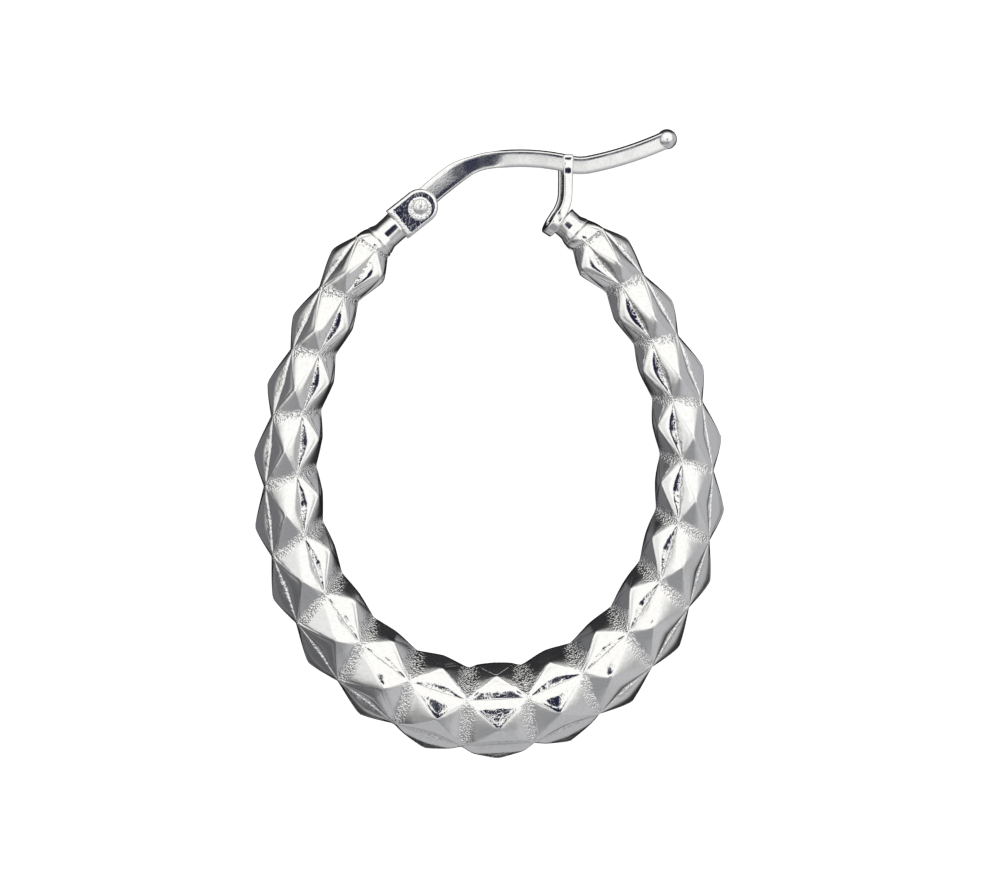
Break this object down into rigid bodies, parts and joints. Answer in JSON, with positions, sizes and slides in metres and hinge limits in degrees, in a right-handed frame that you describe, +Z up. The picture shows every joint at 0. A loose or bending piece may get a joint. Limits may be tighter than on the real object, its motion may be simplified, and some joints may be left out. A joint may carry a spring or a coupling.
{
  "type": "oval hoop earring",
  "caption": "Hollow oval hoop earring with a faceted, tapering tube, a hinged ear post with a ball tip and a forked catch.",
  "frame": {"origin": "centre of the bottom of the bounding box, on the surface the hoop lies on", "axes": "+Z up out of the surface, through the hoop's front face; -Y toward the closed thick end of the hoop and +Y toward the ear post; +X from the hinge toward the catch"},
  "size_m": [0.0272, 0.036, 0.0052],
  "materials": {
    "hoop_metal": "polished, standing in for polished sterling silver",
    "rivet_metal": "polished, scratched",
    "post_metal": "polished, with fine wear toward the tip"
  },
  "bodies": {
    "hoop": {"hoop_body": "hoop_metal", "hinge_rivet": "rivet_metal"},
    "post": {"ear_post": "post_metal"}
  },
  "joints": [
    {"name": "post_hinge", "type": "hinge", "parent": "hoop", "child": "post", "pos_m": [-0.00342, 0.01406, 0.00158], "axis": [0, 0.034, 0.9994], "range_deg": [0, 85]}
  ]
}
